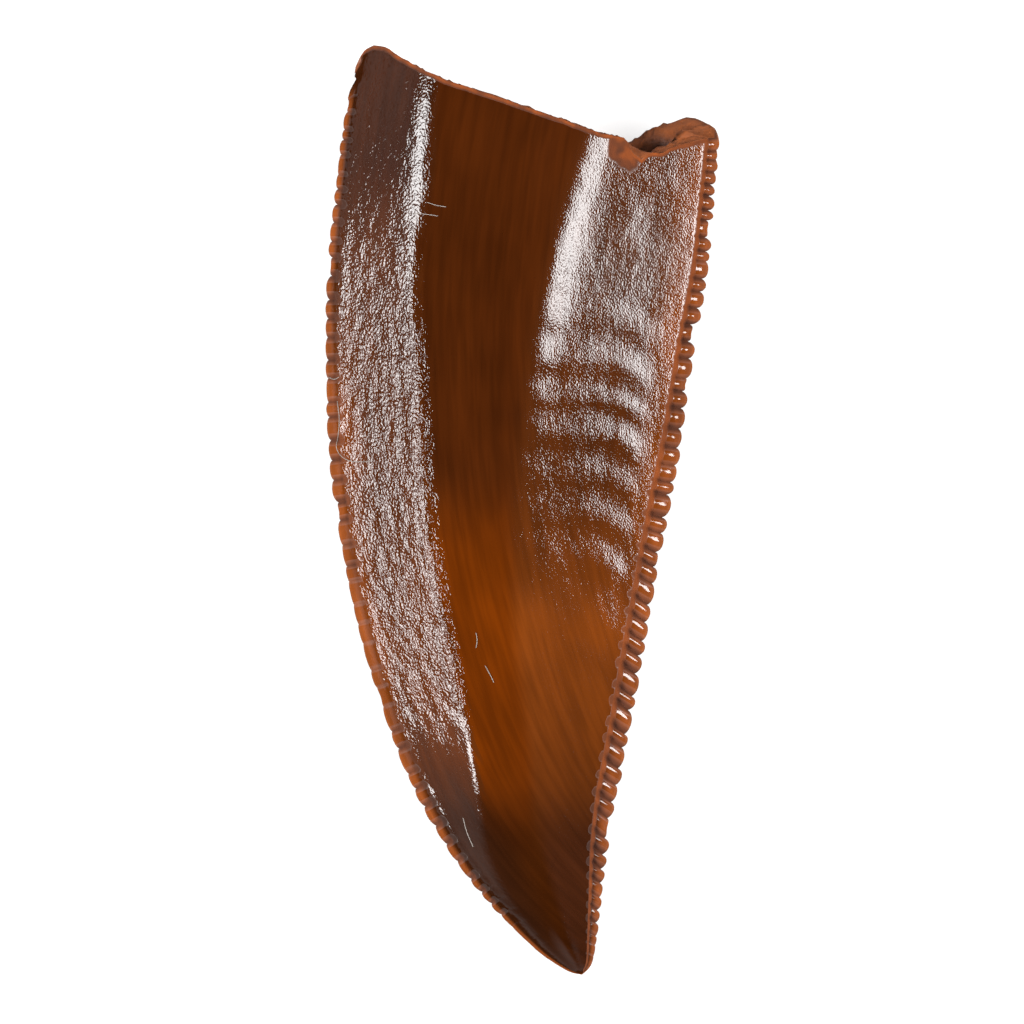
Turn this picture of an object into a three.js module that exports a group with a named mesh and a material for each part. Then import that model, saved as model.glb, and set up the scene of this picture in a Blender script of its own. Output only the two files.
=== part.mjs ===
// Shed crown of a meat-eating dinosaur's tooth, turned to stone.
//
// One natural piece: a blade flattened from side to side, with a saw-toothed cutting edge (a carina)
// along the front (mesial) and the back (distal) side. The root is gone. The crown ends there in a
// broken rim round the shallow, open pulp cavity, and a chip is missing from the rim's distal corner.
//
// Frame: millimetres. The crown lies on its flatter side, on z = 0, with the base towards +Y, the
// apex towards -Y, the mesial edge at -X and the distal edge at +X. The origin is under the middle.

import * as THREE from "three";

const { lerp, smoothstep, clamp } = THREE.MathUtils;

// ---------------------------------------------------------------- driving dimensions, in mm

// The two carinae in plan, from the broken base to the shared apex.
const MESIAL_LINE = [
  [-5.0, 13.48], [-5.31, 12.11], [-5.63, 9.71], [-5.9, 6.9], [-5.93, 4.2], [-5.79, 1.19],
  [-5.33, -1.85], [-4.58, -4.91], [-3.34, -8.35], [-1.72, -11.07], [0.16, -13.1], [1.29, -13.93],
  [1.82, -14.1],
];
const DISTAL_LINE = [
  [5.93, 11.0], [5.79, 9.2], [5.57, 7.0], [5.14, 4.4], [4.79, 1.9], [4.28, -0.85],
  [3.77, -3.7], [3.26, -6.65], [2.72, -9.5], [2.45, -11.6], [2.28, -12.95], [2.12, -13.75],
  [1.82, -14.1],
];

// Height of the carinae above the ground. The crown bends towards the side that it lies on, and it
// leans, so the distal carina is the higher one. The resting side is worn flat by this much.
const MESIAL_HEIGHT_AT_BASE = 1.4;
const HEIGHT_AT_APEX = 0.5;
const HEIGHT_DROP_POWER = 2.2;
const RESTING_FLAT = 0.17;
const LIFTS_OFF = [0.7, 0.92]; // shares of the length between which the lower side leaves the ground

// Shares of the crown's length at which the numbers below are given.
const STATIONS = [0, 0.1, 0.2, 0.3, 0.45, 0.6, 0.75, 0.88, 1];
const DISTAL_CARINA_RISE = [0.86, 0.82, 0.84, 0.92, 1.0, 1.1, 1.02, 0.56, 0];

// Pulp cavity, open at the base.
const CAVITY_DEPTH = 5.2;
const CAVITY_WIDTH_SHARE = 0.82; // of the crown's width
const CAVITY_HEIGHT_SHARE = 0.53; // of the crown's thickness

// Broken rim: [share of the width from mesial to distal, distance above the base line].
const UPPER_RIM = [
  [0, -0.67], [0.017, 0.32], [0.034, 0.51], [0.069, 0.51], [0.112, 0.31], [0.192, 0.03],
  [0.249, -0.11], [0.402, -0.27], [0.568, -0.49], [0.651, -0.62], [0.698, -0.64], [0.744, -0.61],
  [0.774, -1.06], [0.798, -1.16], [0.818, -0.88], [0.851, -0.8], [0.895, -0.42], [0.932, -0.22],
  [1, 0.14],
];
const LOWER_RIM = [
  [0, -0.67], [0.034, 0.36], [0.069, 0.36], [0.112, 0.15], [0.192, -0.15], [0.4, -0.47],
  [0.568, -0.7], [0.698, -0.84], [0.74, -0.8], [0.781, -0.48], [0.818, 0.05], [0.846, 0.24],
  [0.871, 0.09], [0.9, 0.61], [0.928, 0.62], [0.958, 0.55], [1, 0.14],
];

// ---------------------------------------------------------------- the two sides of the blade

// Each side is a band between two sloping flanks. At every station: the side's thickness and the
// band's two edges as shares of the width, and the height of the band's distal edge as a share of
// that of its mesial edge. A step is where the distal flank flattens again, just past the band.
const UPPER = {
  face: 1,
  thickness: [0.165, 0.157, 0.142, 0.15, 0.165, 0.167, 0.168, 0.115, 0.11],
  bandMesial: [0.202, 0.226, 0.232, 0.26, 0.29, 0.314, 0.31, 0.17, 0.15],
  bandDistal: [0.655, 0.612, 0.59, 0.578, 0.563, 0.566, 0.582, 0.5, 0.5],
  distalHeight: [0.6, 0.713, 0.9, 0.81, 0.66, 0.69, 0.68, 1.35, 1.45],
  mesialRounding: 0.01,
  distalRounding: 0.015,
  stepShare: [0.72, 0.64, 0.53, 0.4, 0.08, 0, 0, 0, 0],
  rim: UPPER_RIM,
};
const LOWER = {
  face: -1,
  thickness: [0.175, 0.178, 0.18, 0.182, 0.186, 0.19, 0.194, 0.197, 0.2],
  bandMesial: [0.27, 0.276, 0.282, 0.288, 0.297, 0.306, 0.315, 0.323, 0.33],
  bandDistal: [0.63, 0.627, 0.624, 0.621, 0.617, 0.612, 0.608, 0.604, 0.6],
  distalHeight: STATIONS.map(() => 1),
  mesialRounding: 0.03,
  distalRounding: 0.03,
  stepShare: STATIONS.map(() => 0),
  rim: LOWER_RIM,
};
const STEP_WIDTH = 0.045;
const STEP_ROUNDING = 0.012;

// Growth wrinkles: low ridges between furrows, which are given by their distance from the base. The
// distal ones arch across the flank and bend towards the apex beside the carina.
const ARCH_TOP = 0.74; // share of the width
const ARCH_DROP = 28;
const ARCH_SLANT = 1.2;
const WRINKLE_ENDS = [-0.1, 0.3]; // from outside to inside the first and the last furrow
const DISTAL_WRINKLES = {
  furrows: [5.5, 6.85, 8.3, 9.2, 10.55, 11.7, 13.0, 14.6, 16.5],
  heights: [0.01, 0.026, 0.02, 0.026, 0.016, 0.022, 0.03, 0.016],
  across: [0.5, 0.62, 0.88, 0.96],
  bend: (v) => -ARCH_DROP * Math.max(v - ARCH_TOP, 0) ** 2 - ARCH_SLANT * Math.max(ARCH_TOP - v, 0),
};
const MESIAL_WRINKLES = {
  furrows: [13.4, 14.5, 15.4, 16.5, 17.4, 18.6, 19.7],
  heights: [0.008, 0.012, 0.01, 0.012, 0.014, 0.01],
  across: [0.03, 0.08, 0.2, 0.34],
  bend: (v) => 3 * v,
};

// A shallow hollow beside the distal carina, and at the tip of the upper side a flake's edge and a
// low bump. Places are shares of the crown's width (v) and length (t).
const HOLLOW = { v: 0.9, spread: 0.055, depth: 0.035, t: [0.04, 0.1, 0.24, 0.36] };
const FLAKE = { v: 0.64, t: 0.834, spread: 0.28, edge: 0.004, height: 0.03, fades: [0.88, 0.95] };
const TIP_BUMP = { v: 0.62, t: 0.945, spreadV: 0.09, spreadT: 0.02, height: 0.05 };

// ---------------------------------------------------------------- saw edges

const DENTICLES = 54; // on each carina
const SAW_EDGES = {
  mesial: {
    zone: [[0, 0.42], [0.1, 0.44], [0.3, 0.5], [0.78, 0.54], [0.85, 0.5], [0.9, 0.42], [1, 0.14]],
    rootShare: 0.62, // of the zone, over which the edge rounds over
    notchDepth: 0.085,
    notchCut: 0.3, // share of the thickness that a notch takes away
    thickness: 0.17,
    lean: [[0, 0], [0.3, 0.08], [0.56, 0.2], [0.7, 0.3], [1, 0.7]],
    firstOnes: [1.5, 3.5],
    lastOnes: [45, 50],
    salt: 1,
  },
  distal: {
    zone: [[0, 0.6], [0.1, 0.64], [0.3, 0.8], [0.42, 0.88], [0.78, 0.84], [0.85, 0.62], [1, 0.12]],
    rootShare: 0.82,
    notchDepth: 0.15,
    notchCut: 0.62,
    thickness: 0.16,
    lean: [[0, -0.1], [0.3, -0.04], [0.45, 0.12], [0.5, 0.34], [0.56, 0.6], [1, 0.85]],
    firstOnes: [-1, 0],
    lastOnes: [48.5, 53.5],
    salt: 2,
  },
};
const CREST_SQUARENESS = 2.3; // of a denticle's outline, with a power that fills its shoulders
const CREST_FULLNESS = 0.7;
const CROWN_SQUARENESS = 1.9; // of a denticle's section
const GROOVE_START = 0.6; // share of the zone over which a groove deepens
const SMALLEST_DENTICLE = 0.5; // share of the full notch
const LARGEST_DENTICLE = 1.2;
const MIDDLE_OF_WIDTH = [0.1, 0.9]; // over which a row's lean changes from mesial to distal
const LARGEST_ZONE_SHARE = 0.3; // of the width, near the apex
const FULL_SIZE_WIDTH = 3; // a narrower crown has smaller denticles and relief

// ---------------------------------------------------------------- small helpers

// A straight-line graph through [x, y] points.
function graph(points, x) {
  const next = points.findIndex(([px]) => px >= x);
  if (next < 0) return points.at(-1)[1];
  if (next === 0) return points[0][1];
  const [x0, y0] = points[next - 1];
  const [x1, y1] = points[next];
  return lerp(y0, y1, (x - x0) / (x1 - x0));
}

// A smooth curve through the values at the stations.
function betweenStations(values, t) {
  const last = STATIONS.length - 1;
  const slopeAt = (k) => {
    const [before, after] = [Math.max(k - 1, 0), Math.min(k + 1, last)];
    return (values[after] - values[before]) / (STATIONS[after] - STATIONS[before]);
  };
  let i = 0;
  while (i < last - 1 && STATIONS[i + 1] <= t) i += 1;
  const gap = STATIONS[i + 1] - STATIONS[i];
  const u = (clamp(t, 0, 1) - STATIONS[i]) / gap;
  const turn = u * u * (3 - 2 * u);
  const leave = slopeAt(i) * gap * u * (1 - u) ** 2;
  const arrive = slopeAt(i + 1) * gap * u * u * (u - 1);
  return lerp(values[i], values[i + 1], turn) + leave + arrive;
}

// Zero before the knee and a line of slope 1 after it, with a rounded turn.
function softRamp(x, knee, rounding) {
  const turn = (value) => rounding * Math.log1p(Math.exp(value / rounding));
  return turn(x - knee) - turn(-knee);
}

// Rises over [a, b] and falls over [c, d].
function plateau(x, [a, b, c, d]) {
  return smoothstep(x, a, b) * (1 - smoothstep(x, c, d));
}

function bell(x, centre, spread) {
  return Math.exp(-(((x - centre) / spread) ** 2));
}

// A number from 0 to 1 that looks random but is the same in each run.
function scatter(index, salt) {
  const wave = Math.sin(index * 127.1 + salt * 311.7) * 43758.5453;
  return wave - Math.floor(wave);
}

// ---------------------------------------------------------------- outline and section

const asCurve = (points) => new THREE.SplineCurve(points.map(([x, y]) => new THREE.Vector2(x, y)));
const mesialLine = asCurve(MESIAL_LINE);
const distalLine = asCurve(DISTAL_LINE);
const crownLength = (mesialLine.getLength() + distalLine.getLength()) / 2;

// A carina's point at a share of its length; above the base line it runs on straight.
function carinaPoint(line, t) {
  if (t >= 0) return line.getPointAt(Math.min(t, 1));
  return line.getPointAt(0).addScaledVector(line.getTangentAt(0), t * line.getLength());
}

// Height of the straight line from carina to carina.
function carinaLevel(t, v) {
  const share = clamp(t, 0, 1);
  const drop = (MESIAL_HEIGHT_AT_BASE - HEIGHT_AT_APEX) * share ** HEIGHT_DROP_POWER;
  return MESIAL_HEIGHT_AT_BASE - drop + betweenStations(DISTAL_CARINA_RISE, share) * v;
}

// Height of one side over that line: 0 at both carinae and 1 at the band's mesial edge.
function sideProfile(side, t, v) {
  const a = betweenStations(side.bandMesial, t);
  const b = betweenStations(side.bandDistal, t);
  const flankSlope = 1 / a;
  const bandSlope = (betweenStations(side.distalHeight, t) - 1) / (b - a);
  const step = betweenStations(side.stepShare, t);
  const firstTurn = (x) => (flankSlope - bandSlope) * softRamp(x, a, side.mesialRounding);
  const secondTurn = (x) =>
    softRamp(x, b, side.distalRounding) - step * softRamp(x, b + STEP_WIDTH, STEP_ROUNDING);
  const drop = (flankSlope - firstTurn(1)) / secondTurn(1);
  return flankSlope * v - firstTurn(v) - drop * secondTurn(v);
}

// Height of the ridges at a distance s from the base: 0 in a furrow and outside the row of them.
function wrinkleRise({ furrows, heights, across, bend }, s, v) {
  const place = s + bend(v);
  const phase = graph(furrows.map((furrow, k) => [furrow, k]), place);
  const height = graph(heights.map((value, k) => [k + 0.5, value]), phase);
  const [outside, inside] = WRINKLE_ENDS;
  const [first, last] = [furrows[0], furrows.at(-1)];
  const ends = [first + outside, first + inside, last - inside, last - outside];
  return height * (1 - Math.cos(2 * Math.PI * phase)) * plateau(place, ends) * plateau(v, across);
}

// Everything that stands over or sinks under the plain section, in mm outwards.
function relief(side, t, v) {
  const s = t * crownLength;
  let rise = wrinkleRise(DISTAL_WRINKLES, s, v) + wrinkleRise(MESIAL_WRINKLES, s, v);
  rise -= HOLLOW.depth * bell(v, HOLLOW.v, HOLLOW.spread) * plateau(t, HOLLOW.t);
  if (side === LOWER) return rise;
  const insideFlake = t - FLAKE.t - FLAKE.spread * Math.abs(v - FLAKE.v);
  rise += FLAKE.height * smoothstep(insideFlake, 0, FLAKE.edge) * (1 - smoothstep(t, ...FLAKE.fades));
  const { v: bumpV, t: bumpT, spreadV, spreadT, height } = TIP_BUMP;
  return rise + height * bell(v, bumpV, spreadV) * bell(t, bumpT, spreadT);
}

// Thickness of one side. The lower side is as thick as it takes to lie on the ground, up to the
// last stretch, where the apex lifts off.
function halfThickness(side, t, width, level) {
  const free = width * betweenStations(side.thickness, t);
  if (side === UPPER) return free;
  return lerp(level + RESTING_FLAT, free, smoothstep(t, ...LIFTS_OFF));
}

// A point of the crown without its saw edges: t runs from base to apex, v from mesial to distal.
function plainPoint(side, t, v, sectionV = v) {
  const mesial = carinaPoint(mesialLine, t);
  const distal = carinaPoint(distalLine, t);
  const width = mesial.distanceTo(distal);
  const share = clamp(t, 0, 1);
  const level = carinaLevel(share, sectionV);
  const half = halfThickness(side, share, width, level) * sideProfile(side, share, sectionV);
  const thin = smoothstep(width, 0, FULL_SIZE_WIDTH);
  const plan = mesial.lerp(distal, v);
  const z = level + side.face * (half + thin * relief(side, share, sectionV));
  return new THREE.Vector3(plan.x, plan.y, z);
}

// ---------------------------------------------------------------- rows and denticles

const RIM_ROWS_END = 4 / DENTICLES; // the first four denticles stretch or shrink to the rim

// Denticles are fine at both ends of the crown and coarsest between mid-crown and apex.
const FINER_AT_ENDS = 0.21;
const EVEN_MIDDLE = 0.04;
const COARSEST_LATE = 0.05;
function evenedOut(tau) {
  const turn = 2 * Math.PI * tau;
  const finer = FINER_AT_ENDS * Math.sin(turn) + EVEN_MIDDLE * Math.sin(2 * turn);
  return tau - (finer + COARSEST_LATE * (1 - Math.cos(turn))) / (2 * Math.PI);
}

function widthAt(tau) {
  const t = evenedOut(tau);
  return carinaPoint(mesialLine, t).distanceTo(carinaPoint(distalLine, t));
}

function zoneWidth(carina, tau) {
  return Math.min(graph(SAW_EDGES[carina].zone, evenedOut(tau)), LARGEST_ZONE_SHARE * widthAt(tau));
}

// How much of denticle number index is left, from 0 for worn away to about 1.
function denticleSize({ firstOnes, lastOnes, salt }, index) {
  const own = lerp(SMALLEST_DENTICLE, LARGEST_DENTICLE, scatter(index, salt));
  return own * smoothstep(index, ...firstOnes) * (1 - smoothstep(index, ...lastOnes));
}

// What one saw edge does at a row, inward mm from the unnotched edge: how far its notch pushes the
// point in, the share of the blunt edge's thickness there, and the share that the notch takes away.
function sawEdge(carina, tau, inward) {
  const edge = SAW_EDGES[carina];
  const zone = zoneWidth(carina, tau);
  const place = tau * DENTICLES;
  const index = Math.floor(place + 1e-6);
  const fromCrest = Math.min(Math.abs(2 * (place - index) - 1), 1);
  const crest = (1 - fromCrest ** CREST_SQUARENESS) ** CREST_FULLNESS;
  const size = denticleSize(edge, index);
  const near = clamp(1 - inward / zone, 0, 1);
  const notch = edge.notchDepth * Math.min(widthAt(tau) / FULL_SIZE_WIDTH, 1);
  const round = clamp(inward / (edge.rootShare * zone), 0, 1);
  return {
    push: notch * size * (1 - crest) * near,
    share: Math.sqrt(round * (2 - round)),
    cut: edge.notchCut * size * fromCrest ** CROWN_SQUARENESS * smoothstep(near, 0, GROOVE_START),
  };
}

// Share of the crown's length for a row. Denticles lean apically, so a row starts nearer the apex
// at the carina than it does inside, and the first rows follow the broken rim.
function rowShare(side, tau, v, flat, inward) {
  const blend = smoothstep(flat, ...MIDDLE_OF_WIDTH);
  const { mesial, distal } = SAW_EDGES;
  const lean = lerp(graph(mesial.lean, tau), graph(distal.lean, tau), blend);
  const zone = lerp(zoneWidth("mesial", tau), zoneWidth("distal", tau), blend);
  const shift = (lean * Math.min(inward, zone)) / crownLength;
  if (tau >= RIM_ROWS_END) return evenedOut(tau) - shift;
  const rim = -graph(side.rim, v) / crownLength;
  return lerp(rim, evenedOut(RIM_ROWS_END) - shift, tau / RIM_ROWS_END);
}

// A point of the crown: tau is the share of the denticles passed from base to apex, and flat is the
// place across the width before the notches push it in.
function crownPoint(side, tau, flat) {
  const width = widthAt(tau);
  const mesial = sawEdge("mesial", tau, flat * width);
  const distal = sawEdge("distal", tau, (1 - flat) * width);
  const v = flat + (mesial.push - distal.push) / width;
  const t = rowShare(side, tau, v, flat, Math.min(flat, 1 - flat) * width);
  const point = plainPoint(side, t, v, flat);
  const level = carinaLevel(t, flat);
  const blunt = lerp(SAW_EDGES.mesial.thickness, SAW_EDGES.distal.thickness, flat);
  const edge = blunt * Math.min(width / FULL_SIZE_WIDTH, 1) * mesial.share * distal.share;
  const whole = point.z - level + side.face * edge;
  point.z = Math.max(level + whole * (1 - mesial.cut) * (1 - distal.cut), 0);
  return point;
}

// ---------------------------------------------------------------- mesh

// Columns run from base to apex, and stand in a ring: mesial carina, upper side, distal carina,
// lower side. A column in the denticle zone is at a share of the zone; one inside it is at a share
// of what lies between the two zones, given by the band's edges a and b.
const ON_EVERY_CREST = [0, 0.2, 0.5, 0.8];
const TWO_ROWS = [0, 0.5];
const ONE_ROW = [0];
const ZONE_COLUMNS = [
  { share: 0.13, phases: ON_EVERY_CREST },
  { share: 0.45, phases: ON_EVERY_CREST },
];
const flankShare = (share) => (a, b) => lerp(b, 1, share);
const bandShare = (share) => (a, b) => lerp(a, b, share);
const UPPER_COLUMNS = [
  { place: () => 0, phases: TWO_ROWS },
  { place: (a) => a * 0.5, phases: TWO_ROWS },
  { place: (a) => a * 0.94, phases: TWO_ROWS },
  { place: bandShare(0.04), phases: TWO_ROWS },
  { place: bandShare(0.5), phases: ONE_ROW },
  { place: bandShare(0.94), phases: TWO_ROWS },
  { place: flankShare(0.06), phases: TWO_ROWS },
  { place: flankShare(0.15), phases: TWO_ROWS },
  { place: flankShare(0.3), phases: TWO_ROWS },
  { place: flankShare(0.46), phases: TWO_ROWS },
  { place: flankShare(0.64), phases: TWO_ROWS },
  { place: flankShare(0.82), phases: TWO_ROWS },
  { place: () => 1, phases: TWO_ROWS },
];
const LOWER_COLUMNS = [
  { place: () => 0, phases: ONE_ROW },
  { place: (a) => a * 0.55, phases: ONE_ROW },
  { place: (a) => a, phases: ONE_ROW },
  { place: bandShare(0.5), phases: ONE_ROW },
  { place: bandShare(1), phases: ONE_ROW },
  { place: flankShare(0.3), phases: ONE_ROW },
  { place: flankShare(0.65), phases: ONE_ROW },
  { place: () => 1, phases: ONE_ROW },
];

const zoneShare = (carina, tau) => zoneWidth(carina, tau) / widthAt(tau);

function zoneColumns(side, carina) {
  return ZONE_COLUMNS.map(({ share, phases }) => {
    const inward = (tau) => share * zoneShare(carina, tau);
    return { side, phases, flatAt: carina === "mesial" ? inward : (tau) => 1 - inward(tau) };
  });
}

function innerColumns(side, places) {
  return places.map(({ place, phases }) => {
    const flatAt = (tau) => {
      const start = zoneShare("mesial", tau);
      const end = 1 - zoneShare("distal", tau);
      const between = (edge) => (betweenStations(edge, evenedOut(tau)) - start) / (end - start);
      return lerp(start, end, place(between(side.bandMesial), between(side.bandDistal)));
    };
    return { side, phases, flatAt };
  });
}

const carinaColumn = (flat) => ({ side: UPPER, phases: ON_EVERY_CREST, flatAt: () => flat });

const ring = [
  carinaColumn(0),
  ...zoneColumns(UPPER, "mesial"),
  ...innerColumns(UPPER, UPPER_COLUMNS),
  ...zoneColumns(UPPER, "distal").reverse(),
  carinaColumn(1),
  ...zoneColumns(LOWER, "distal"),
  ...innerColumns(LOWER, LOWER_COLUMNS).reverse(),
  ...zoneColumns(LOWER, "mesial").reverse(),
];

const vertices = [];
const triangles = [];

function addVertex(point) {
  vertices.push(point.x, point.y, point.z);
  return vertices.length / 3 - 1;
}

// Rows of one column: every denticle at the column's phases, and a last row beside the apex.
const LAST_ROW = 0.992;
const LAST_GAP = 0.004;
function columnRows({ phases }) {
  const rows = [];
  for (let index = 0; index < DENTICLES; index++)
    for (const phase of phases) {
      const tau = (index + phase) / DENTICLES;
      if (tau < LAST_ROW - LAST_GAP) rows.push(tau);
    }
  return [...rows, LAST_ROW];
}

// Triangles between two neighbouring columns, whose rows need not match.
function zip(left, right) {
  let i = 0;
  let j = 0;
  while (i < left.length - 1 || j < right.length - 1) {
    const leftNext = i < left.length - 1 ? left[i + 1].tau : Infinity;
    const rightNext = j < right.length - 1 ? right[j + 1].tau : Infinity;
    if (leftNext <= rightNext) {
      triangles.push(left[i].index, left[i + 1].index, right[j].index);
      i += 1;
    } else {
      triangles.push(left[i].index, right[j + 1].index, right[j].index);
      j += 1;
    }
  }
}

// A ring inside the pulp cavity: a smaller copy of the section, deeper and narrower. Beside the
// carinae its rim lies between that of the upper and that of the lower side.
const CAVITY_RINGS = [0.985, 0.86, 0.62, 0.32, 0];
const SEAM_WIDTH = 0.15; // of the crown's width
function cavityRing(depth) {
  const shrink = Math.sqrt(1 - depth ** 2);
  return ring.map(({ side, flatAt }) => {
    const rimV = flatAt(0);
    const v = 0.5 + (rimV - 0.5) * CAVITY_WIDTH_SHARE * shrink;
    const own = 0.5 + 0.5 * smoothstep(Math.min(rimV, 1 - rimV), 0, SEAM_WIDTH);
    const other = side === UPPER ? LOWER : UPPER;
    const height = lerp(graph(other.rim, v), graph(side.rim, v), own);
    const t = lerp(-height / crownLength, CAVITY_DEPTH / crownLength, depth);
    const outside = Math.max(plainPoint(side, t, rimV).z, 0);
    const point = plainPoint(side, t, v);
    point.z = lerp(carinaLevel(t, rimV), outside, CAVITY_HEIGHT_SHARE * shrink);
    return addVertex(point);
  });
}

const bottomShare = CAVITY_DEPTH / crownLength;
const cavityEnd = plainPoint(UPPER, bottomShare, 0.5);
cavityEnd.z = carinaLevel(bottomShare, 0.5);
const cavityPole = addVertex(cavityEnd);
const cavityRings = CAVITY_RINGS.map(cavityRing);
const columns = ring.map((column) =>
  columnRows(column).map((tau) => {
    const point = crownPoint(column.side, tau, column.flatAt(tau));
    return { tau, index: addVertex(point) };
  }),
);
const apexPoint = mesialLine.getPointAt(1);
const apexPole = addVertex(new THREE.Vector3(apexPoint.x, apexPoint.y, HEIGHT_AT_APEX));

const closedRings = [...cavityRings, columns.map((column) => column[0].index)];
ring.forEach((_, c) => {
  const n = (c + 1) % ring.length;
  triangles.push(cavityPole, closedRings[0][c], closedRings[0][n]);
  for (let r = 0; r + 1 < closedRings.length; r++) {
    const [inner, outer] = [closedRings[r], closedRings[r + 1]];
    triangles.push(inner[c], outer[c], outer[n], inner[c], outer[n], inner[n]);
  }
  zip(columns[c], columns[n]);
  triangles.push(columns[c].at(-1).index, apexPole, columns[n].at(-1).index);
});

const geometry = new THREE.BufferGeometry();
geometry.setAttribute("position", new THREE.Float32BufferAttribute(vertices, 3));
geometry.setIndex(triangles);
geometry.computeBoundingBox();
const middle = geometry.boundingBox.getCenter(new THREE.Vector3());
geometry.translate(-middle.x, -middle.y, 0);
geometry.computeVertexNormals();

const fossilEnamel = new THREE.MeshStandardMaterial({
  color: 0x5a2a0e,
  roughness: 0.3,
  metalness: 0,
});
const crown = new THREE.Mesh(geometry, fossilEnamel);
crown.name = "tooth";

const tooth = new THREE.Group();
tooth.name = "fossil_dinosaur_tooth";
tooth.add(crown);

export default tooth;
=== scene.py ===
import bpy
import numpy as np
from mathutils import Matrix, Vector
from mathutils.bvhtree import BVHTree


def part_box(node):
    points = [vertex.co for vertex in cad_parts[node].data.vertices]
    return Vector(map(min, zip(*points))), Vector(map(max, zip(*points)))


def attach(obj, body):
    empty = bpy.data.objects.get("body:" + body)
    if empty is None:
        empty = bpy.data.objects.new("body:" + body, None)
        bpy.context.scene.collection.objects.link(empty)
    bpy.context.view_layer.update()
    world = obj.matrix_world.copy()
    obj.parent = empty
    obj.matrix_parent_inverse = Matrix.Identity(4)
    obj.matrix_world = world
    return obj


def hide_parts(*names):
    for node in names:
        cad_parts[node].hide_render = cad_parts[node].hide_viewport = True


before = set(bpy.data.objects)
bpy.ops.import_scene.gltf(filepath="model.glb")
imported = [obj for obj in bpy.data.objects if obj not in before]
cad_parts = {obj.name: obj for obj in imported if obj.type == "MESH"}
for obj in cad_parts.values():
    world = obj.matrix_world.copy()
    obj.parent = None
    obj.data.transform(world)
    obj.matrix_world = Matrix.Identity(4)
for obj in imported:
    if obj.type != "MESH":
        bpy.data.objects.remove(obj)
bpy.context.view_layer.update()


# ---------------------------------------------------------------- tooth crown
# One natural piece: a blade of dentine under glossy enamel, both turned brown in the rock. It broke
# off at its base, so the pulp cavity shows behind the rim. It lies loose, on its flatter side.

MM = 0.001

# --- outline: the mesial (left) and distal (right) cutting edges in plan, base to apex, in mm
MESIAL_LINE = [
    (-5.0, 13.48), (-5.31, 12.11), (-5.63, 9.71), (-5.9, 6.9), (-5.93, 4.2), (-5.79, 1.19),
    (-5.33, -1.85), (-4.58, -4.91), (-3.34, -8.35), (-1.72, -11.07), (0.16, -13.1), (1.29, -13.93),
    (1.82, -14.1),
]
DISTAL_LINE = [
    (5.93, 11.0), (5.79, 9.2), (5.57, 7.0), (5.14, 4.4), (4.79, 1.9), (4.28, -0.85),
    (3.77, -3.7), (3.26, -6.65), (2.72, -9.5), (2.45, -11.6), (2.28, -12.95), (2.12, -13.75),
    (1.82, -14.1),
]


class Spline:
    """A smooth curve through points, read by the share of its length."""

    def __init__(self, points):
        points = np.array(points, float)
        padded = np.concatenate([points[:1], points, points[-1:]])
        u = np.linspace(0, 1, 100, endpoint=False)[:, None]
        stretches = []
        for before, start, end, after in zip(padded, padded[1:], padded[2:], padded[3:]):
            leave, arrive = (end - before) / 2, (after - start) / 2
            cubic = 2 * (start - end) + leave + arrive
            square = 3 * (end - start) - 2 * leave - arrive
            stretches.append(cubic * u**3 + square * u**2 + leave * u + start)
        self.line = np.concatenate([*stretches, points[-1:]])
        steps = np.linalg.norm(np.diff(self.line, axis=0), axis=1)
        self.along = np.concatenate([[0], np.cumsum(steps)])
        self.length = self.along[-1]
        self.start_direction = (self.line[1] - self.line[0]) / steps[0]

    def at(self, share):
        """x and y at a share of the length; before the start the curve runs on straight."""
        s = share * self.length
        overshoot = np.minimum(s, 0)
        return [
            np.interp(s, self.along, self.line[:, k]) + self.start_direction[k] * overshoot
            for k in (0, 1)
        ]


mesial_edge, distal_edge = Spline(MESIAL_LINE), Spline(DISTAL_LINE)
crown_length = (mesial_edge.length + distal_edge.length) / 2

# --- section: a band between two flanks on each side, in shares of the local width
MESIAL_CARINA_HEIGHT, APEX_HEIGHT = 1.4, 0.5
CARINA_DROP_POWER = 2.2
RESTING_FLAT = 0.17
UPPER, LOWER = 1, -1
STATIONS = [0, 0.1, 0.2, 0.3, 0.45, 0.6, 0.75, 0.88, 1]
DISTAL_CARINA_RISE = [0.86, 0.82, 0.84, 0.92, 1.0, 1.1, 1.02, 0.56, 0]
THICKNESS = {
    UPPER: [0.165, 0.157, 0.142, 0.15, 0.165, 0.167, 0.168, 0.115, 0.11],
    LOWER: [0.175, 0.178, 0.18, 0.182, 0.186, 0.19, 0.194, 0.197, 0.2],
}
BAND_MESIAL = {
    UPPER: [0.215, 0.236, 0.23, 0.256, 0.276, 0.308, 0.31, 0.17, 0.15],
    LOWER: [0.27, 0.276, 0.282, 0.288, 0.297, 0.306, 0.315, 0.323, 0.33],
}
BAND_DISTAL = {
    UPPER: [0.676, 0.622, 0.596, 0.578, 0.563, 0.566, 0.582, 0.5, 0.5],
    LOWER: [0.63, 0.627, 0.624, 0.621, 0.617, 0.612, 0.608, 0.604, 0.6],
}
BAND_DISTAL_HEIGHT = {UPPER: [0.6, 0.713, 0.9, 0.81, 0.66, 0.69, 0.68, 1.35, 1.45], LOWER: [1] * 9}
MESIAL_ROUNDING = {
    UPPER: [0.022, 0.022, 0.009, 0.005, 0.005, 0.008, 0.014, 0.03, 0.03],
    LOWER: [0.03] * 9,
}
DISTAL_ROUNDING = {
    UPPER: [0.012, 0.013, 0.016, 0.022, 0.03, 0.03, 0.03, 0.03, 0.03],
    LOWER: [0.03] * 9,
}
STEP_WIDTH, STEP_ROUNDING = 0.045, 0.012
STEP_SHARE = {UPPER: [0.66, 0.59, 0.62, 0.5, 0.1, 0, 0, 0, 0], LOWER: [0] * 9}


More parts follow.
